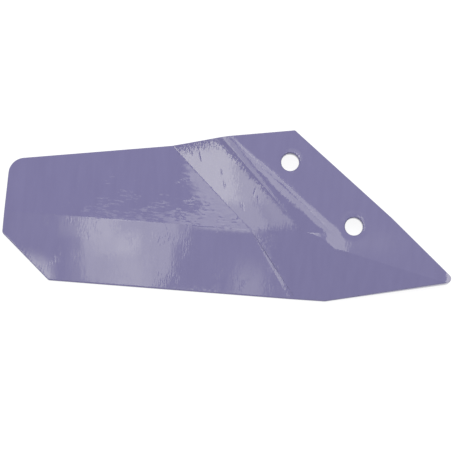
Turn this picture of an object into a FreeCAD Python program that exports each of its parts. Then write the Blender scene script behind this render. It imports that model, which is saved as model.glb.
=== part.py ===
import FreeCAD, Part
import math
import os
import Sketcher

# Cultivator side share, in millimetres and degrees.
# One forged plate: a flat wing, a sloping web and a raised mount with two bolt holes.
# X runs along the cutting edge from heel to point, Y from the edge to the back, Z up.
# The origin is on the mount's seat face, midway between the two bolt holes.

doc = FreeCAD.newDocument("side_share")

# Driving dimensions
sizes = doc.addObject("Spreadsheet::Sheet", "Sizes")
driving = [
    ("plate_thickness", 8, "steel plate behind the bevel"),
    ("edge_thickness", 3, "steel left at the cutting edge"),
    ("bolt_pitch", 66, "centre to centre of the bolt holes"),
    ("bolt_line_angle", 41.2, "bolt line against the cutting edge"),
    ("bolt_hole_diameter", 13, "clearance for an M12 bolt"),
    ("rim_chamfer", 0.8, "broken edge round both ends of a bolt hole"),
    ("seat_lift", 10.5, "seat centre above the wing's back face"),
    ("seat_tilt", 6.5, "seat face against the wing, about X"),
    ("edge_setback", 77, "bolt centre to cutting edge"),
    ("bevel_width", 48, "cutting edge to the start of the bevel"),
    ("heel_reach", 231, "bolt centre to heel"),
    ("heel_width", 87.4, "cutting edge to the back corner of the heel"),
    ("heel_corner_radius", 12, "rounding of the heel's back corner"),
    ("heel_clip_run", 37, "clipped heel corner, along the edge"),
    ("heel_clip_rise", 32, "clipped heel corner, along the heel"),
    ("clip_corner_radius", 3, "rounding at both ends of the clipped corner"),
    ("back_edge_angle", 9.3, "back edge against the cutting edge"),
    ("back_corner_reach", 23, "bolt centre back to the corner over the mount"),
    ("back_corner_radius", 1.5, "rounding of that corner"),
    ("nose_edge_angle", 38, "nose edge against the cutting edge"),
    ("nose_shoulder_reach", 52, "bolt centre to where the nose edge steepens"),
    ("nose_start", 8, "bolt centre to the end of the cutting edge"),
    ("nose_start_radius", 6, "rounding where the nose leaves the cutting edge"),
    ("point_reach", 101.5, "bolt centre to the unrounded point"),
    ("point_rise", 20.5, "point above the line of the cutting edge"),
    ("point_radius", 3.3, "rounding of the point"),
    ("crease_setback", 50, "bolt centre back to the crease, on the bevel line"),
    ("crease_angle", 43.3, "crease against the cutting edge"),
    ("crease_edge_setback", 18, "bolt centre back to the crease, at the cutting edge"),
    ("crease_radius", 5, "crease in the face, in a section along X"),
    ("crease_edge_radius", 120, "the same at the cutting edge"),
    ("web_width", 53.5, "crease to ridge, on the bevel line"),
    ("ridge_angle", 40.8, "ridge against the cutting edge"),
    ("ridge_back_radius", 16, "ridge behind the back edge, in a section along X"),
    ("ridge_bevel_radius", 220, "the same on the bevel line"),
    ("ridge_edge_radius", 270, "the same at the cutting edge"),
    ("nose_bevel_reach", 13.5, "bolt centre to the nose bevel, on the bevel line"),
    ("nose_bevel_angle", 1.7, "nose bevel against X"),
    ("trim_margin", 6, "how far the untrimmed plate stands past the outline"),
    ("bevel_cut_height", 30, "height of the bevel's cutting shape over the wing"),
]
for row, (name, number, meaning) in enumerate(driving, start=1):
    sizes.set(f"A{row}", name)
    sizes.set(f"B{row}", str(number))
    sizes.set(f"C{row}", meaning)
    sizes.setAlias(f"B{row}", name)
doc.recompute()

# Places worked out from the driving dimensions
EDGE_Y = "(-Sizes.edge_setback)"
BEVEL_Y = "(Sizes.bevel_width - Sizes.edge_setback)"
HEEL_X = "(-Sizes.heel_reach)"
HEEL_BACK_Y = "(Sizes.heel_width - Sizes.edge_setback)"
BACK_CORNER_X = "(-Sizes.back_corner_reach)"
BACK_CORNER_Y = (
    f"({HEEL_BACK_Y} + (Sizes.heel_reach - Sizes.back_corner_reach)"
    " * tan(Sizes.back_edge_angle))"
)
SHOULDER_Y = (
    f"({BACK_CORNER_Y} - (Sizes.nose_shoulder_reach + Sizes.back_corner_reach)"
    " * tan(Sizes.nose_edge_angle))"
)
BACK_Y = f"({BACK_CORNER_Y} + Sizes.trim_margin)"
LEFT_X = "(-Sizes.heel_reach - Sizes.trim_margin)"
RIGHT_X = "(Sizes.point_reach + Sizes.trim_margin)"
WING_BACK_Z = "(-Sizes.seat_lift)"
WING_FACE_Z = "(Sizes.plate_thickness - Sizes.seat_lift)"
CUT_TOP_Z = "(Sizes.bevel_cut_height + Sizes.plate_thickness - Sizes.seat_lift)"
EDGE_CUT = "(Sizes.plate_thickness - Sizes.edge_thickness)"
CREASE_X = "(-Sizes.crease_setback)"
CREASE_EDGE_X = "(-Sizes.crease_edge_setback)"
RIDGE_X = "(Sizes.web_width - Sizes.crease_setback)"


def seat_height(y):
    """Height of the seat face in a section at y."""
    return f"({y} * tan(Sizes.seat_tilt))"


def face_height(y):
    """Height of the mount's face in a section at y."""
    return f"({y} * tan(Sizes.seat_tilt) + Sizes.plate_thickness / cos(Sizes.seat_tilt))"


def at_back(x, angle):
    """Place of a fold in the back section, from its place on the bevel line."""
    return f"({x} - ({BACK_Y} - {BEVEL_Y}) / tan({angle}))"


body = doc.addObject("PartDesign::Body", "SideShare")
body.Label = "side_share"


def new_sketch(name, role):
    """A sketch on one of the body's origin planes."""
    sketch = body.newObject("Sketcher::SketchObject", name)
    plane = next(item for item in body.Origin.OriginFeatures if item.Role == role)
    sketch.AttachmentSupport = [(plane, "")]
    sketch.MapMode = "FlatFace"
    return sketch


def section_sketch(name, y):
    """A sketch in the upright plane at y, whose axes are X and Z."""
    sketch = new_sketch(name, "XZ_Plane")
    sketch.setExpression("AttachmentOffset.Base.z", f"-{y}")
    return sketch


def number_of(sketch, expression):
    """What an expression of the sheet's sizes comes to."""
    return float(sketch.evalExpression(expression))


def hold_size(sketch, kind, places, expression):
    """Add a constraint whose size follows an expression."""
    constraint = Sketcher.Constraint(kind, *places, number_of(sketch, expression))
    index = sketch.addConstraint(constraint)
    sketch.setExpression(f"Constraints[{index}]", expression)


def pin_point(sketch, geometry, end, x, y):
    """Hold a point of a sketch at two expressions, measured from the origin."""
    hold_size(sketch, "DistanceX", (-1, 1, geometry, end), x)
    hold_size(sketch, "DistanceY", (-1, 1, geometry, end), y)


def draw_outline(sketch, corners):
    """Draw a closed outline. Each corner is x, y and a rounding or None, as expressions."""
    points = [
        FreeCAD.Vector(number_of(sketch, x), number_of(sketch, y), 0)
        for x, y, rounding in corners
    ]
    line_starts = list(points)
    line_ends = points[1:] + points[:1]
    arcs = {}
    for i, (x, y, rounding) in enumerate(corners):
        if rounding is None:
            continue
        corner = points[i]
        back = (points[i - 1] - corner).normalize()
        ahead = (points[(i + 1) % len(points)] - corner).normalize()
        radius = number_of(sketch, rounding)
        half_angle = back.getAngle(ahead) / 2
        to_centre = (back + ahead).normalize()
        to_middle = to_centre * (radius / math.sin(half_angle) - radius)
        tangent_length = radius / math.tan(half_angle)
        line_ends[i - 1] = corner + back * tangent_length
        line_starts[i] = corner + ahead * tangent_length
        arc = Part.Arc(line_ends[i - 1], corner + to_middle, line_starts[i])
        arcs[i] = sketch.addGeometry(arc, False)
    lines = [
        sketch.addGeometry(Part.LineSegment(start, end), False)
        for start, end in zip(line_starts, line_ends)
    ]
    for i, (x, y, rounding) in enumerate(corners):
        line_in = lines[i - 1]
        line_out = lines[i]
        if rounding is None:
            sketch.addConstraint(Sketcher.Constraint("Coincident", line_in, 2, line_out, 1))
            pin_point(sketch, line_out, 1, x, y)
            continue
        arc = arcs[i]
        gap = sketch.getPoint(arc, 1).distanceToPoint(line_ends[i - 1])
        arc_in, arc_out = (1, 2) if gap < 1e-6 else (2, 1)
        sketch.addConstraint(Sketcher.Constraint("Tangent", line_in, 2, arc, arc_in))
        sketch.addConstraint(Sketcher.Constraint("Tangent", arc, arc_out, line_out, 1))
        hold_size(sketch, "Radius", (arc,), rounding)
        corner_point = sketch.addGeometry(Part.Point(points[i]), True)
        pin_point(sketch, corner_point, 1, x, y)
        for line in (line_in, line_out):
            sketch.addConstraint(
                Sketcher.Constraint("PointOnObject", corner_point, 1, line)
            )


# Joggled plate, lofted from behind the back edge over the bevel line to the cutting edge
def plate_section(name, y, crease_x, crease_rounding, ridge_x, ridge_rounding):
    """The untapered plate in a section along X: wing, web and mount, then their backs."""
    sketch = section_sketch(name, y)
    draw_outline(sketch, [
        (LEFT_X, WING_FACE_Z, None),
        (crease_x, WING_FACE_Z, crease_rounding),
        (ridge_x, face_height(y), ridge_rounding),
        (RIGHT_X, face_height(y), None),
        (RIGHT_X, seat_height(y), None),
        (ridge_x, seat_height(y), f"({ridge_rounding} - Sizes.plate_thickness)"),
        (crease_x, WING_BACK_Z, f"({crease_rounding} + Sizes.plate_thickness)"),
        (LEFT_X, WING_BACK_Z, None),
    ])
    return sketch


back_section = plate_section(
    "BackSection", BACK_Y,
    at_back(CREASE_X, "Sizes.crease_angle"), "Sizes.crease_radius",
    at_back(RIDGE_X, "Sizes.ridge_angle"), "Sizes.ridge_back_radius",
)
bevel_section = plate_section(
    "BevelSection", BEVEL_Y,
    CREASE_X, "Sizes.crease_radius", RIDGE_X, "Sizes.ridge_bevel_radius",
)
edge_section = plate_section(
    "EdgeSection", EDGE_Y,
    CREASE_EDGE_X, "Sizes.crease_edge_radius", "Sizes.nose_start", "Sizes.ridge_edge_radius",
)
doc.recompute()
plate = body.newObject("PartDesign::AdditiveLoft", "JoggledPlate")
plate.Profile = back_section
plate.Sections = [bevel_section, edge_section]
plate.Ruled = True
doc.recompute()

# Plan outline: what lies outside it is cut away
blank_left = f"({LEFT_X} - Sizes.trim_margin)"
blank_right = f"({RIGHT_X} + Sizes.trim_margin)"
blank_front = f"({EDGE_Y} - Sizes.trim_margin)"
blank_back = f"({BACK_Y} + Sizes.trim_margin)"
outline = new_sketch("PlanOutline", "XY_Plane")
draw_outline(outline, [
    (f"({HEEL_X} + Sizes.heel_clip_run)", EDGE_Y, "Sizes.clip_corner_radius"),
    ("Sizes.nose_start", EDGE_Y, "Sizes.nose_start_radius"),
    ("Sizes.point_reach", f"({EDGE_Y} + Sizes.point_rise)", "Sizes.point_radius"),
    ("Sizes.nose_shoulder_reach", SHOULDER_Y, None),
    (BACK_CORNER_X, BACK_CORNER_Y, "Sizes.back_corner_radius"),
    (HEEL_X, HEEL_BACK_Y, "Sizes.heel_corner_radius"),
    (HEEL_X, f"({EDGE_Y} + Sizes.heel_clip_rise)", "Sizes.clip_corner_radius"),
])
draw_outline(outline, [
    (blank_left, blank_front, None),
    (blank_right, blank_front, None),
    (blank_right, blank_back, None),
    (blank_left, blank_back, None),
])
doc.recompute()
trim = body.newObject("PartDesign::Pocket", "TrimToOutline")
trim.Profile = outline
trim.Type = "ThroughAll"
trim.Midplane = True
doc.recompute()


# Bevel: wing, web and nose facets that fall to the cutting edge
def bevel_cut(name, y, crease_x, crease_rounding, wing_z, corner_x, corner_z):
    """What the bevel takes away in a section along X, from the bevelled face up."""
    sketch = section_sketch(name, y)
    end_z = f"({corner_z} + ({RIGHT_X} - {corner_x}) * tan(Sizes.nose_bevel_angle))"
    draw_outline(sketch, [
        (LEFT_X, wing_z, None),
        (crease_x, wing_z, crease_rounding),
        (corner_x, corner_z, None),
        (RIGHT_X, end_z, None),
        (RIGHT_X, CUT_TOP_Z, None),
        (LEFT_X, CUT_TOP_Z, None),
    ])
    return sketch


web_slope = f"(({face_height(BEVEL_Y)} - {WING_FACE_Z}) / Sizes.web_width)"
web_end_z = (
    f"({WING_FACE_Z} + {web_slope} * (Sizes.nose_bevel_reach + Sizes.crease_setback))"
)
bevel_start = bevel_cut(
    "BevelStart", BEVEL_Y, CREASE_X, "Sizes.crease_radius", WING_FACE_Z,
    "Sizes.nose_bevel_reach", web_end_z,
)
bevel_end = bevel_cut(
    "BevelEnd", EDGE_Y, CREASE_EDGE_X, "Sizes.crease_edge_radius",
    f"({WING_FACE_Z} - {EDGE_CUT})", "Sizes.nose_start",
    f"({face_height(EDGE_Y)} - {EDGE_CUT})",
)
doc.recompute()
bevel = body.newObject("PartDesign::SubtractiveLoft", "Bevel")
bevel.Profile = bevel_start
bevel.Sections = [bevel_end]
bevel.Ruled = True
doc.recompute()

# Bolt holes, square to the mount, with their rims broken
half_along = "(Sizes.bolt_pitch / 2 * cos(Sizes.bolt_line_angle))"
half_across = "(Sizes.bolt_pitch / 2 * sin(Sizes.bolt_line_angle))"
bolt_places = [
    (f"(-{half_along})", half_across),
    (half_along, f"(-{half_across})"),
]
holes = new_sketch("BoltHoles", "XY_Plane")
x_axis = FreeCAD.Vector(1, 0, 0)
z_axis = FreeCAD.Vector(0, 0, 1)
seat_turn = FreeCAD.Rotation(x_axis, sizes.get("seat_tilt"))
holes.AttachmentOffset = FreeCAD.Placement(FreeCAD.Vector(), seat_turn)
holes.setExpression("AttachmentOffset.Rotation.Angle", "Sizes.seat_tilt")
for x, y in bolt_places:
    centre = FreeCAD.Vector(number_of(holes, x), number_of(holes, y), 0)
    radius = sizes.get("bolt_hole_diameter") / 2
    circle = holes.addGeometry(Part.Circle(centre, z_axis, radius), False)
    pin_point(holes, circle, 3, x, y)
    hold_size(holes, "Diameter", (circle,), "Sizes.bolt_hole_diameter")
doc.recompute()
drill = body.newObject("PartDesign::Pocket", "DrillBoltHoles")
drill.Profile = holes
drill.Type = "ThroughAll"
drill.Midplane = True
doc.recompute()


def hole_rims(shape):
    """Names of the edges round both ends of every bolt hole."""
    radius = sizes.get("bolt_hole_diameter") / 2
    names = []
    for index, edge in enumerate(shape.Edges, start=1):
        faces = shape.ancestorsOfType(edge, Part.Face)
        bores = [
            face for face in faces
            if isinstance(face.Surface, Part.Cylinder)
            and math.isclose(face.Surface.Radius, radius)
        ]
        if len(faces) == 2 and len(bores) == 1:
            names.append(f"Edge{index}")
    return names


rims = body.newObject("PartDesign::Chamfer", "BreakRims")
rims.Base = (drill, hole_rims(drill.Shape))
rims.setExpression("Size", "Sizes.rim_chamfer")
doc.recompute()


def with_plane_faces(shape):
    """The same solid, with each flat patch of its ruled lofts held as a true plane."""
    faces = []
    for face in shape.Faces:
        if isinstance(face.Surface, Part.Plane) or face.findPlane(1e-6) is None:
            faces.append(face)
            continue
        flat = Part.makeFace(face.Wires, "Part::FaceMakerBullseye")
        if flat.normalAt(0, 0).dot(face.normalAt(0, 0)) < 0:
            flat.reverse()
        faces.append(flat)
    return Part.makeSolid(Part.makeShell(faces))


# Check every object, then write the share
for item in doc.Objects:
    if "Invalid" in item.State or "Error" in item.State:
        raise RuntimeError(f"{item.Name} failed: {item.State}")
share = with_plane_faces(body.Shape)
if not math.isclose(share.Volume, body.Shape.Volume, rel_tol=1e-4):
    raise RuntimeError("the plane faces changed the share")
if share.isNull() or not share.isValid() or len(share.Solids) != 1:
    raise RuntimeError("the share is not one valid solid")
if not share.Volume < trim.Shape.Volume < plate.Shape.Volume:
    raise RuntimeError("a cut took nothing away")
os.makedirs("parts", exist_ok=True)
share.exportStep(f"parts/{body.Label}.step")
print(f"{body.Label}: {share.Volume / 1000:.1f} cm3")
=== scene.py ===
import math
import bmesh
import bpy
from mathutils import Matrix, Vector


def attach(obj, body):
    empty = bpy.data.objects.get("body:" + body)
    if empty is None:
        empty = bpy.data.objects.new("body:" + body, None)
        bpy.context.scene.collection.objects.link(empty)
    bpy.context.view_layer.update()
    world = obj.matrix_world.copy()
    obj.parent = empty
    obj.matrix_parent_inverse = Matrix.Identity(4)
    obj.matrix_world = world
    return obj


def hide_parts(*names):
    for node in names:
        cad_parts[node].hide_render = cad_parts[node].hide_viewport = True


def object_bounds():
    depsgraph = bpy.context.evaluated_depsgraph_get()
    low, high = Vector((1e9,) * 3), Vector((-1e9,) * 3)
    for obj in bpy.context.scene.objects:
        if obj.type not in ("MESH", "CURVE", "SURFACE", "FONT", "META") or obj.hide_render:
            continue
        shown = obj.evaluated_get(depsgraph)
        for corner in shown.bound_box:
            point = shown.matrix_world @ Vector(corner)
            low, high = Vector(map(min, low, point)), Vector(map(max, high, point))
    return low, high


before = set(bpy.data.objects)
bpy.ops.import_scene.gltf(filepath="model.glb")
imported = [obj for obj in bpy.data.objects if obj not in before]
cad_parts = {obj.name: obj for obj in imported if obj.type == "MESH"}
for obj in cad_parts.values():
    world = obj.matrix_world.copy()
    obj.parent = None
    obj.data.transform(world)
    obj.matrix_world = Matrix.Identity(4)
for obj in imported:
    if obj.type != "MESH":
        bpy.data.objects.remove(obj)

cad_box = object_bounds()

# The share: one forged plate with a flat wing, a sloping web and a raised mount.
# It is pressed hot, ground to a bevel along its cutting edge and dipped in paint,
# so its edges are broken and its bends are soft. The mesh is the CAD solid's, cut finer.
PLATE_THICKNESS = 0.008
SEAT_LIFT = 0.0105
SEAT_TILT = math.radians(6.5)
EDGE_Y = -0.077
BEVEL_Y = -0.029
BACK_Y = 0.0504
CREASE_AT_EDGE = -0.018
CREASE_AT_BEVEL = -0.050
CREASE_ANGLE = math.radians(43.3)
CREASE_RADIUS = 0.005
CREASE_RADIUS_AT_EDGE = 0.120
RIDGE_AT_EDGE = 0.008
RIDGE_AT_BEVEL = 0.0035
RIDGE_ANGLE = math.radians(40.8)
RIDGE_RADIUS_AT_EDGE = 0.270
RIDGE_RADIUS_AT_BEVEL = 0.220
RIDGE_RADIUS_AT_BACK = 0.016
GROUND_DEPTH = 0.005
GROUND_CREASE_RADIUS = 0.002
GROUND_RIDGE_AT_BEVEL = 0.0135
GROUND_POINT_SLOPE = math.tan(math.radians(1.7))
EDGE_ROUNDING = 0.0009
CELL = 0.0015
NEAR_FACE = 0.00025

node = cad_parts["side_share"]
share = bpy.data.objects.new("painted_share", node.data.copy())
bpy.context.scene.collection.objects.link(share)


def plate_section(y, crease, ridge, lift, crease_radius, ridge_radius):
    """A section of the plate along X: start, corner and end of its crease and its ridge."""
    wing = lift - SEAT_LIFT
    mount = y * math.tan(SEAT_TILT) + lift / math.cos(SEAT_TILT)
    turn = math.atan((mount - wing) / (ridge - crease))
    crease_half = crease_radius * math.tan(turn / 2)
    ridge_half = ridge_radius * math.tan(turn / 2)
    return [
        (crease - crease_half, wing),
        (crease, wing),
        (crease + crease_half * math.cos(turn), wing + crease_half * math.sin(turn)),
        (ridge - ridge_half * math.cos(turn), mount - ridge_half * math.sin(turn)),
        (ridge, mount),
        (ridge + ridge_half, mount),
    ]


def part_way(near, far, part):
    """The section that lies part of the way from one to another."""
    return [
        (a[0] + (b[0] - a[0]) * part, a[1] + (b[1] - a[1]) * part)
        for a, b in zip(near, far)
    ]


def on_bend(x, start, corner, end):
    """Height at x of a round bend that leaves start and reaches end towards its corner."""
    a = start[0] - 2 * corner[0] + end[0]
    b = 2 * (corner[0] - start[0])
    c = start[0] - x
    if abs(a) < 1e-7:
        t = -c / b
    else:
        t = (math.sqrt(b * b - 4 * a * c) - b) / (2 * a)
    return (1 - t) ** 2 * start[1] + 2 * t * (1 - t) * corner[1] + t * t * end[1]


def section_height(x, section, slope_after):
    """Height at x of a section: level wing, crease, straight web, ridge, straight mount."""
    crease_start, crease, crease_end, ridge_start, ridge, ridge_end = section
    if x <= crease_start[0]:
        return crease_start[1]
    if x < crease_end[0]:
        return on_bend(x, crease_start, crease, crease_end)
    if x < ridge_start[0]:
        slope = (ridge_start[1] - crease_end[1]) / (ridge_start[0] - crease_end[0])
        return crease_end[1] + slope * (x - crease_end[0])
    if x < ridge_end[0]:
        return on_bend(x, ridge_start, ridge, ridge_end)
    return ridge_end[1] + slope_after * (x - ridge_end[0])


def plate_height(x, y, lift, back):
    """Height of the unground face (lift 8 mm) or of the back (lift 0) at x, y."""
    near = plate_section(
        BEVEL_Y, CREASE_AT_BEVEL, RIDGE_AT_BEVEL, lift,
        CREASE_RADIUS + back, RIDGE_RADIUS_AT_BEVEL - back,
    )
    if y > BEVEL_Y:
        run = BACK_Y - BEVEL_Y
        crease = CREASE_AT_BEVEL - run / math.tan(CREASE_ANGLE)
        ridge = RIDGE_AT_BEVEL - run / math.tan(RIDGE_ANGLE)
        far = plate_section(
            BACK_Y, crease, ridge, lift, CREASE_RADIUS + back, RIDGE_RADIUS_AT_BACK - back
        )
        part = (y - BEVEL_Y) / run
    else:
        far = plate_section(
            EDGE_Y, CREASE_AT_EDGE, RIDGE_AT_EDGE, lift,
            CREASE_RADIUS_AT_EDGE + back, RIDGE_RADIUS_AT_EDGE - back,
        )
        part = (BEVEL_Y - y) / (BEVEL_Y - EDGE_Y)
    return section_height(x, part_way(near, far, part), 0)


def face_height(x, y, bevel_crease):
    """Height of the finished face, its crease rounded to bevel_crease at the cutting edge."""
    plate = plate_height(x, y, PLATE_THICKNESS, 0)
    if y > BEVEL_Y:
        return plate
    near = plate_section(
        BEVEL_Y, CREASE_AT_BEVEL, RIDGE_AT_BEVEL, PLATE_THICKNESS, CREASE_RADIUS, 0
    )
    far = plate_section(
        EDGE_Y, CREASE_AT_EDGE, RIDGE_AT_EDGE, PLATE_THICKNESS, bevel_crease, 0
    )
    far = [(point_x, height - GROUND_DEPTH) for point_x, height in far]
    web_slope = (near[4][1] - near[0][1]) / (RIDGE_AT_BEVEL - CREASE_AT_BEVEL)
    web_rise = web_slope * (GROUND_RIDGE_AT_BEVEL - CREASE_AT_BEVEL)
    corner = (GROUND_RIDGE_AT_BEVEL, near[0][1] + web_rise)
    near = near[:3] + [corner, corner, corner]
    section = part_way(near, far, (BEVEL_Y - y) / (BEVEL_Y - EDGE_Y))
    return min(plate, section_height(x, section, GROUND_POINT_SLOPE))


def back_height(x, y):
    """Height of the back, which follows the face at the plate's thickness."""
    return plate_height(x, y, 0, PLATE_THICKNESS)


bm = bmesh.new()
bm.from_mesh(share.data)
bmesh.ops.remove_doubles(bm, verts=bm.verts, dist=1e-6)
bmesh.ops.dissolve_limit(
    bm, angle_limit=math.radians(0.3), use_dissolve_boundaries=False,
    verts=bm.verts, edges=bm.edges, delimit=set(),
)
rims = [
    edge for edge in bm.edges
    if len(edge.link_faces) == 2 and edge.calc_face_angle() > math.radians(50)
]
bmesh.ops.bevel(
    bm, geom=rims, offset=EDGE_ROUNDING, offset_type="OFFSET", segments=3,
    profile=0.5, affect="EDGES", clamp_overlap=True, material=-1,
)
low, high = cad_box
cuts = []
x = low.x + CELL
while x < high.x:
    cuts.append((Vector((x, 0, 0)), Vector((1, 0, 0))))
    x += CELL
y = low.y + CELL
while y < high.y:
    cuts.append((Vector((0, y, 0)), Vector((0, 1, 0))))
    y += CELL
crease_line = Vector((CREASE_AT_EDGE - CREASE_AT_BEVEL, EDGE_Y - BEVEL_Y, 0))
cuts.append((
    Vector((CREASE_AT_BEVEL, BEVEL_Y, 0)), Vector((-crease_line.y, crease_line.x, 0))
))
for point, across in cuts:
    bmesh.ops.bisect_plane(
        bm, geom=bm.verts[:] + bm.edges[:] + bm.faces[:], dist=1e-6,
        plane_co=point, plane_no=across,
    )

# The face and the back take their drawn heights; the bevel's crease is ground sharp.
for vert in bm.verts:
    x, y, z = vert.co
    face = face_height(x, y, CREASE_RADIUS_AT_EDGE)
    back = back_height(x, y)
    if abs(z - face) < NEAR_FACE:
        z = face
    elif abs(z - back) < NEAR_FACE:
        z = back
    if z > (face + back) / 2:
        z += face_height(x, y, GROUND_CREASE_RADIUS) - face
    vert.co.z = z
bmesh.ops.recalc_face_normals(bm, faces=bm.faces)
for face in bm.faces:
    face.smooth = True

# Creases that turn a level face by a few degrees stay crisp in the paint.
for edge in bm.edges:
    turned = edge.calc_face_angle(0)
    level = all(abs(face.normal.z) > 0.9 for face in edge.link_faces)
    if level and math.radians(2) < turned < math.radians(12):
        edge.smooth = False
bm.to_mesh(share.data)
bm.free()
normals = share.modifiers.new("even_shading", "WEIGHTED_NORMAL")
normals.mode = "FACE_AREA"
normals.weight = 50
normals.keep_sharp = True

# The dip paint: glossy violet blue and rippled where it ran; the pale point is a painted
# highlight.
PAINT_DEEP = (0.195, 0.180, 0.345, 1)
PAINT_PALE = (0.211, 0.196, 0.367, 1)
# Pale colour of the painted highlight at the point.
PAINTED_POINT_HIGHLIGHT = (0.43, 0.41, 0.55, 1)
BUMP_UNIT = 0.00003
RIDGE_RUN = 1.158
CREASE_RUN = 1.061
paint = bpy.data.materials.new("violet_dip_paint")
paint.use_nodes = True
tree = paint.node_tree
shader = tree.nodes["Principled BSDF"]
shader.inputs["Roughness"].default_value = 0.03
shader.inputs["IOR"].default_value = 1.5


def add_node(tree, kind, **settings):
    """A node of a material, with its settings."""
    made = tree.nodes.new(kind)
    for name, value in settings.items():
        setattr(made, name, value)
    return made


def math_node(tree, operation, first, second=None, third=None, clamp=False):
    """A Math node; each operand is a number or another node's output."""
    made = add_node(tree, "ShaderNodeMath", operation=operation, use_clamp=clamp)
    for socket, value in zip(made.inputs, (first, second, third)):
        if value is None:
            continue
        if isinstance(value, (int, float)):
            socket.default_value = value
        else:
            tree.links.new(value, socket)
    return made.outputs[0]


def noise(tree, vector, size, stretch, detail=2.0, roughness=0.5):
    """Noise about zero, its features size metres across and drawn out by stretch."""
    mapping = add_node(tree, "ShaderNodeMapping")
    mapping.inputs["Scale"].default_value = [1 / (size * part) for part in stretch]
    tree.links.new(vector, mapping.inputs["Vector"])
    texture = add_node(tree, "ShaderNodeTexNoise")
    texture.inputs["Scale"].default_value = 1
    texture.inputs["Detail"].default_value = detail
    texture.inputs["Roughness"].default_value = roughness
    tree.links.new(mapping.outputs[0], texture.inputs["Vector"])
    return math_node(tree, "SUBTRACT", texture.outputs["Fac"], 0.5)


def ramp(tree, value, low_end, high_end, low_value=0.0, high_value=1.0):
    """value, spread smoothly from low_end..high_end to low_value..high_value."""
    made = add_node(tree, "ShaderNodeMapRange", interpolation_type="SMOOTHSTEP")
    tree.links.new(value, made.inputs["Value"])
    made.inputs["From Min"].default_value = low_end
    made.inputs["From Max"].default_value = high_end
    made.inputs["To Min"].default_value = low_value
    made.inputs["To Max"].default_value = high_value
    return made.outputs["Result"]


position = add_node(tree, "ShaderNodeTexCoord").outputs["Object"]
axes = add_node(tree, "ShaderNodeSeparateXYZ")
tree.links.new(position, axes.inputs[0])
x_axis = axes.outputs["X"]
y_axis = axes.outputs["Y"]

# Masks of the bevel, the mount and the web, which meet at slanting lines.
on_bevel = ramp(tree, y_axis, -0.0285, -0.030)
past_ridge = math_node(tree, "MULTIPLY_ADD", y_axis, RIDGE_RUN, x_axis)
on_mount = ramp(tree, past_ridge, -0.022, -0.016)
past_crease = math_node(tree, "MULTIPLY_ADD", y_axis, CREASE_RUN, x_axis)
on_web = ramp(tree, past_crease, -0.0815, -0.0800)

# The wing is flecked, mostly towards its bevel, over broad swells.
flecks = noise(tree, position, 0.0018, (2.3, 1.0, 1.0), 0)
fleck_patches = noise(tree, position, 0.012, (1.4, 0.8, 1.0), 1)
fleck_area = math_node(
    tree, "MULTIPLY", ramp(tree, y_axis, 0.014, -0.008, 0.10, 0.9),
    ramp(tree, fleck_patches, -0.06, 0.12, 0.2, 1.5),
)
flecks = math_node(tree, "MULTIPLY", math_node(tree, "MULTIPLY", flecks, fleck_area), 2.0)
wing_swell = noise(tree, position, 0.011, (1.5, 0.7, 1.0), 1)
wing_height = math_node(tree, "MULTIPLY_ADD", wing_swell, 1.6, flecks)

# The web and the mount are streaked along Y, the mount faintly.
web_streaks = noise(tree, position, 0.0011, (1.0, 5.0, 1.0), 1)
web_streaks = math_node(tree, "MULTIPLY", web_streaks, 0.8)
web_height = math_node(tree, "MULTIPLY_ADD", wing_swell, 1.2, web_streaks)
mount_height = math_node(tree, "MULTIPLY", web_height, 0.4)

# The bevel keeps the grinding streaks, in patches.
bevel_streaks = noise(tree, position, 0.0012, (0.8, 3.2, 1.0), 0)
bevel_patches = noise(tree, position, 0.010, (1.0, 1.5, 1.0), 1)
bevel_area = ramp(tree, bevel_patches, -0.05, 0.18, 0.1, 0.9)
bevel_streaks = math_node(tree, "MULTIPLY", bevel_streaks, bevel_area)
bevel_streaks = math_node(tree, "MULTIPLY", bevel_streaks, 0.7)
bevel_swell = noise(tree, position, 0.010, (0.8, 2.5, 1.0), 1)
bevel_height = math_node(tree, "MULTIPLY_ADD", bevel_swell, 0.5, bevel_streaks)


def mix(tree, factor, first, second):
    """A blend of two values."""
    made = add_node(tree, "ShaderNodeMix", data_type="FLOAT")
    tree.links.new(factor, made.inputs["Factor"])
    tree.links.new(first, made.inputs["A"])
    tree.links.new(second, made.inputs["B"])
    return made.outputs["Result"]


surface = mix(tree, on_web, wing_height, web_height)
surface = mix(tree, on_mount, surface, mount_height)
surface = mix(tree, on_bevel, surface, bevel_height)


def pit(x, y, width, length, turn, depth):
    """A smooth pit in the face: its place, size, turn from Y in degrees, and depth."""
    shift = add_node(tree, "ShaderNodeMapping", vector_type="TEXTURE")
    tree.links.new(position, shift.inputs["Vector"])
    shift.inputs["Location"].default_value = (x, y, 0)
    shift.inputs["Rotation"].default_value = (0, 0, math.radians(turn))
    shift.inputs["Scale"].default_value = (width, length, 1000)
    away = add_node(tree, "ShaderNodeVectorMath", operation="LENGTH")
    tree.links.new(shift.outputs[0], away.inputs[0])
    return ramp(tree, away.outputs["Value"], 0.0, 1.0, -depth, 0.0)


# Scale pressed into the web left long narrow pits.
for x, y, width, length, turn in (
    (-0.0914, 0.0214, 0.0012, 0.0048, 18), (-0.0975, 0.0242, 0.0008, 0.0024, 10),
    (-0.0743, 0.0110, 0.0009, 0.0040, 8), (-0.0714, 0.0026, 0.0010, 0.0050, 14),
    (-0.0490, -0.0025, 0.0009, 0.0042, -8), (-0.0460, -0.0073, 0.0008, 0.0036, 12),
    (-0.0562, -0.0133, 0.0010, 0.0040, 12), (-0.0583, -0.0118, 0.0007, 0.0030, 12),
):
    surface = math_node(tree, "ADD", surface, pit(x, y, width, length, turn, 2.4))

# Punching drew the face down a little round each bolt hole.
for x, y in ((-0.02483, 0.0217), (0.02483, -0.0217)):
    surface = math_node(tree, "ADD", surface, pit(x, y, 0.0120, 0.0120, 0, 9.0))

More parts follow.
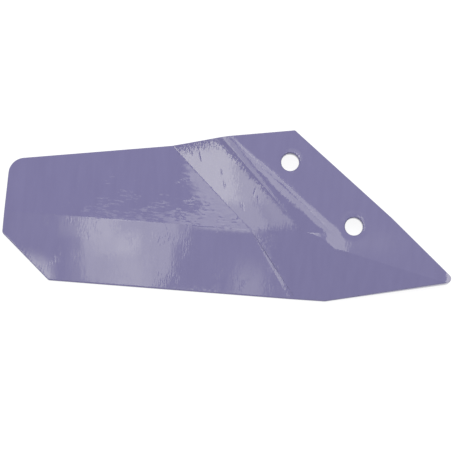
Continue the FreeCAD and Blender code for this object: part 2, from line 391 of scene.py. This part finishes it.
bump = add_node(tree, "ShaderNodeBump")
bump.inputs["Distance"].default_value = BUMP_UNIT
tree.links.new(surface, bump.inputs["Height"])
tree.links.new(bump.outputs[0], shader.inputs["Normal"])

shade = ramp(tree, noise(tree, position, 0.006, (0.8, 4.0, 1.0), 3), -0.4, 0.4)
colour = add_node(tree, "ShaderNodeMix", data_type="RGBA")
tree.links.new(shade, colour.inputs["Factor"])
colour.inputs["A"].default_value = PAINT_DEEP
colour.inputs["B"].default_value = PAINT_PALE
# The point's pale colour is a painted highlight, standing in for the glint on its rounded
# tip.
ragged = noise(tree, position, 0.0012, (1.0, 1.0, 1.0), 2)
point_highlight = math_node(tree, "MULTIPLY_ADD", ragged, 0.004, x_axis)
point_highlight = ramp(tree, point_highlight, 0.0935, 0.0945)
point_highlight_colour = add_node(tree, "ShaderNodeMix", data_type="RGBA")
tree.links.new(point_highlight, point_highlight_colour.inputs["Factor"])
tree.links.new(colour.outputs["Result"], point_highlight_colour.inputs["A"])
point_highlight_colour.inputs["B"].default_value = PAINTED_POINT_HIGHLIGHT
tree.links.new(point_highlight_colour.outputs["Result"], shader.inputs["Base Color"])
share.data.materials.clear()
share.data.materials.append(paint)
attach(share, "root")
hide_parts("side_share")

# The studio table: a plain pale board that the share lies on. The camera and the paint
# see it white, and it keeps the share's shadow.
board_mesh = bpy.data.meshes.new("table_top")
bm = bmesh.new()
bmesh.ops.create_grid(bm, x_segments=1, y_segments=1, size=3)
bmesh.ops.translate(bm, verts=bm.verts, vec=(0, 0, low.z))
bm.to_mesh(board_mesh)
bm.free()
board = bpy.data.objects.new("table_top", board_mesh)
bpy.context.scene.collection.objects.link(board)
white = bpy.data.materials.new("white_board")
white.use_nodes = True
tree = white.node_tree
matt = tree.nodes["Principled BSDF"]
matt.inputs["Base Color"].default_value = (0.9, 0.9, 0.9, 1)
matt.inputs["Roughness"].default_value = 0.9
matt.inputs["Specular IOR Level"].default_value = 0
glow = add_node(tree, "ShaderNodeEmission")
glow.inputs["Strength"].default_value = 0.9
shadowed = add_node(tree, "ShaderNodeBsdfDiffuse")
shadowed.inputs["Color"].default_value = (0.2, 0.2, 0.2, 1)
background = add_node(tree, "ShaderNodeAddShader")
tree.links.new(glow.outputs[0], background.inputs[0])
tree.links.new(shadowed.outputs[0], background.inputs[1])
light_path = add_node(tree, "ShaderNodeLightPath")
seen = math_node(
    tree, "MAXIMUM", light_path.outputs["Is Camera Ray"], light_path.outputs["Is Glossy Ray"]
)
chooser = add_node(tree, "ShaderNodeMixShader")
tree.links.new(seen, chooser.inputs[0])
tree.links.new(matt.outputs[0], chooser.inputs[1])
tree.links.new(background.outputs[0], chooser.inputs[2])
tree.links.new(chooser.outputs[0], tree.nodes["Material Output"].inputs["Surface"])
board_mesh.materials.append(white)

# The lights: a grey room, one broad panel over the table, and two clear cards that
# carry the glowing boxes which the glossy paint mirrors.
world = bpy.data.worlds.new("studio")
bpy.context.scene.world = world
world.use_nodes = True
room = world.node_tree.nodes["Background"]
room.inputs["Color"].default_value = (1, 1, 1, 1)
room.inputs["Strength"].default_value = 0.5


def soft_box(tree, position, corners, strength, soft):
    """Brightness of one box: strength inside its corners, fading over soft at its sides."""
    inside = None
    for i, (x, y) in enumerate(corners):
        next_x, next_y = corners[(i + 1) % len(corners)]
        inward = Vector((y - next_y, next_x - x, 0)).normalized()
        depth = add_node(tree, "ShaderNodeVectorMath", operation="DOT_PRODUCT")
        tree.links.new(position, depth.inputs[0])
        depth.inputs[1].default_value = inward
        start = inward.x * x + inward.y * y
        fade = soft[i] if isinstance(soft, tuple) else soft
        side = ramp(tree, depth.outputs["Value"], start - fade, start + fade)
        inside = side if inside is None else math_node(tree, "MULTIPLY", inside, side)
    return math_node(tree, "MULTIPLY", inside, strength)


def light_card(name, height, low_corner, high_corner, boxes):
    """A level card over the table with glowing boxes on it, clear between them."""
    mesh = bpy.data.meshes.new(name)
    bm = bmesh.new()
    bmesh.ops.create_grid(bm, x_segments=1, y_segments=1, size=0.5)
    size = Vector(high_corner) - Vector(low_corner)
    middle = (Vector(high_corner) + Vector(low_corner)) / 2
    bmesh.ops.scale(bm, verts=bm.verts, vec=(size.x, size.y, 1))
    bmesh.ops.translate(bm, verts=bm.verts, vec=(middle.x, middle.y, height))
    bm.to_mesh(mesh)
    bm.free()
    card = bpy.data.objects.new(name, mesh)
    bpy.context.scene.collection.objects.link(card)
    card.visible_camera = False
    card.visible_shadow = False
    card.visible_diffuse = False
    material = bpy.data.materials.new(name)
    material.use_nodes = True
    tree = material.node_tree
    tree.nodes.remove(tree.nodes["Principled BSDF"])
    position = add_node(tree, "ShaderNodeTexCoord").outputs["Object"]
    brightness = None
    for corners, strength, soft in boxes:
        one = soft_box(tree, position, corners, strength, soft)
        brightness = one if brightness is None else math_node(tree, "ADD", brightness, one)
    emission = add_node(tree, "ShaderNodeEmission")
    emission.inputs["Color"].default_value = (1, 1, 0.82, 1)
    tree.links.new(brightness, emission.inputs["Strength"])
    clear = add_node(tree, "ShaderNodeBsdfTransparent")
    over = add_node(tree, "ShaderNodeAddShader")
    tree.links.new(emission.outputs[0], over.inputs[0])
    tree.links.new(clear.outputs[0], over.inputs[1])
    tree.links.new(over.outputs[0], tree.nodes["Material Output"].inputs["Surface"])
    mesh.materials.append(material)


# Each box: its corners anticlockwise in X and Y, its strength, and how far its sides fade.
light_card("ceiling_boxes", 1.5, (-1.4, -1.1, 0), (0.5, 0.6, 0), [
    # mirrored by the bevel under the wing
    ([(-0.322, -0.155), (-0.208, -0.155), (-0.178, -0.108), (-0.179, 0.03),
      (-0.329, 0.03), (-0.338, -0.075)], 2.9, (0.004, 0.010, 0.010, 0.01, 0.006, 0.006)),
    ([(-0.182, -0.055), (-0.156, -0.055), (-0.153, 0.03), (-0.182, 0.03)], 1.4, 0.010),
    ([(-0.330, -0.064), (-0.282, -0.064), (-0.278, 0.03), (-0.330, 0.03)], 1.7,
     (0.012, 0.012, 0.010, 0.006)),
    ([(-0.322, -0.088), (-0.276, -0.088), (-0.276, -0.064), (-0.322, -0.064)], 1.2, 0.012),
    ([(-0.278, -0.088), (-0.238, -0.084), (-0.238, -0.046), (-0.278, -0.050)], 2.2, 0.013),
    ([(-0.270, -0.155), (-0.222, -0.155), (-0.226, -0.092), (-0.276, -0.092)], 0.9, 0.012),
    ([(-0.378, -0.060), (-0.331, -0.060), (-0.331, 0.02), (-0.378, 0.02)], 1.2,
     (0.012, 0.004, 0.01, 0.01)),
    ([(-0.355, -0.152), (-0.331, -0.152), (-0.331, 0.02), (-0.355, 0.02)], 0.9,
     (0.004, 0.004, 0.01, 0.012)),
    ([(-0.440, -0.190), (-0.380, -0.190), (-0.384, -0.118), (-0.415, -0.095),
      (-0.440, -0.100)], 4.6, (0.01, 0.014, 0.016, 0.016, 0.01)),
    ([(-0.076, -0.160), (-0.024, -0.160), (-0.022, -0.092), (-0.072, -0.088)], 1.8,
     (0.004, 0.010, 0.030, 0.012)),
    # mirrored by the left of the ridge
    ([(-0.400, -0.315), (-0.300, -0.325), (-0.235, -0.300), (-0.180, -0.262),
      (-0.180, -0.157), (-0.272, -0.157), (-0.400, -0.290)], 3.2,
     (0.006, 0.006, 0.006, 0.006, 0.006, 0.014, 0.006)),
    ([(-0.180, -0.260), (-0.018, -0.266), (-0.012, -0.250), (-0.039, -0.187),
      (-0.074, -0.140), (-0.180, -0.140)], 2.8, 0.006),
    # mirrored by the web
    ([(-1.210, -0.900), (-0.690, -0.650), (-0.650, -0.500), (-0.650, -0.160),
      (-1.178, -0.490)], 3.9, (0.008, 0.010, 0.012, 0.012, 0.014)),
    ([(-0.650, -0.492), (-0.445, -0.322), (-0.440, -0.170), (-0.600, -0.130),
      (-0.650, -0.160)], 3.1, (0.030, 0.012, 0.012, 0.012, 0.012)),
    ([(-0.690, -0.650), (-0.560, -0.585), (-0.560, -0.434), (-0.650, -0.509)], 2.5,
     (0.012, 0.012, 0.024, 0.012)),
    ([(-0.560, -0.585), (-0.440, -0.522), (-0.440, -0.334), (-0.560, -0.432)], 2.3,
     (0.012, 0.012, 0.024, 0.012)),
    ([(-1.210, -0.900), (-1.060, -0.835), (-0.915, -0.670), (-0.800, -0.530),
      (-0.700, -0.390), (-0.700, -0.200), (-1.178, -0.490)], 2.4,
     (0.010, 0.010, 0.014, 0.020, 0.016, 0.012, 0.014)),
    # mirrored by the wing beside the web
    ([(-0.130, 0.318), (-0.030, 0.318), (-0.030, 0.410), (-0.176, 0.410), (-0.158, 0.360)],
     3.2, (0.008, 0.006, 0.006, 0.012, 0.012)),
    ([(-0.180, 0.240), (-0.030, 0.240), (-0.030, 0.318), (-0.120, 0.318), (-0.180, 0.314)],
     2.6, (0.006, 0.006, 0.008, 0.008, 0.008)),
    ([(-0.240, 0.270), (-0.180, 0.270), (-0.180, 0.312), (-0.240, 0.306)], 1.7, 0.008),
    ([(-0.335, 0.270), (-0.240, 0.270), (-0.240, 0.303), (-0.335, 0.297)], 1.5, 0.006),
    # mirrored by the faces that fall into the bolt holes
    ([(-0.180, -0.020), (0.060, -0.026), (0.008, 0.014), (-0.060, 0.062),
      (-0.180, 0.080)], 0.8, 0.006),
    # mirrored by the mount beside the lower hole
    ([(0.100, -0.080), (0.200, -0.078), (0.200, -0.045), (0.100, -0.045)], 0.5, 0.020),
    # a faint sheet over the mount and the bevel
    ([(-0.460, -0.170), (0.310, -0.170), (0.310, 0.125), (-0.460, 0.125)], 0.18, 0.02),
])
light_card("low_strip", 0.5, (-0.2, -0.2, 0), (0.2, 0.2, 0), [
    ([(-0.108, -0.031), (0.032, -0.031), (-0.046, 0.026), (-0.062, 0.020),
      (-0.108, 0.000)], 2.8, (0.002, 0.003, 0.005, 0.008, 0.008)),
    ([(0.003, -0.104), (0.030, -0.085), (0.053, -0.055), (0.050, -0.041),
      (0.036, -0.031), (-0.039, -0.031), (-0.032, -0.050), (-0.010, -0.077)], 2.9,
     (0.006, 0.004, 0.003, 0.002, 0.002, 0.002, 0.002, 0.002)),
])

panel_data = bpy.data.lights.new("ceiling_panel", "AREA")
panel_data.shape = "RECTANGLE"
panel_data.size = 1.6
panel_data.size_y = 1.2
panel_data.energy = 18.2
panel = bpy.data.objects.new("ceiling_panel", panel_data)
panel.location = (-0.1, 0.45, 1.6)
panel.visible_glossy = False
bpy.context.scene.collection.objects.link(panel)

# The camera looks down on the share from a little in front of it. Its place and lens
# were fitted to the outline in the photograph, whose side is 452 pixels.
AZIMUTH = math.radians(-4.528)
ELEVATION = math.radians(77.871)
AIM = Vector((-0.06788, -0.02829, 0))
CAMERA_DISTANCE = 1.116
SENSOR_WIDTH = 36
PICTURE_SIDE = 452
FOCAL_PIXELS = 1530
line_of_sight = Vector((
    math.sin(AZIMUTH) * math.cos(ELEVATION),
    math.cos(AZIMUTH) * math.cos(ELEVATION),
    -math.sin(ELEVATION),
))
lens = bpy.data.cameras.new("camera")
lens.sensor_width = SENSOR_WIDTH
lens.lens = FOCAL_PIXELS / PICTURE_SIDE * SENSOR_WIDTH
lens.clip_start = 0.01
lens.clip_end = 20
camera = bpy.data.objects.new("camera", lens)
camera.location = AIM - line_of_sight * CAMERA_DISTANCE
camera.rotation_euler = line_of_sight.to_track_quat("-Z", "Y").to_euler()
bpy.context.scene.collection.objects.link(camera)
bpy.context.scene.camera = camera
bpy.context.scene.view_settings.view_transform = "Standard"
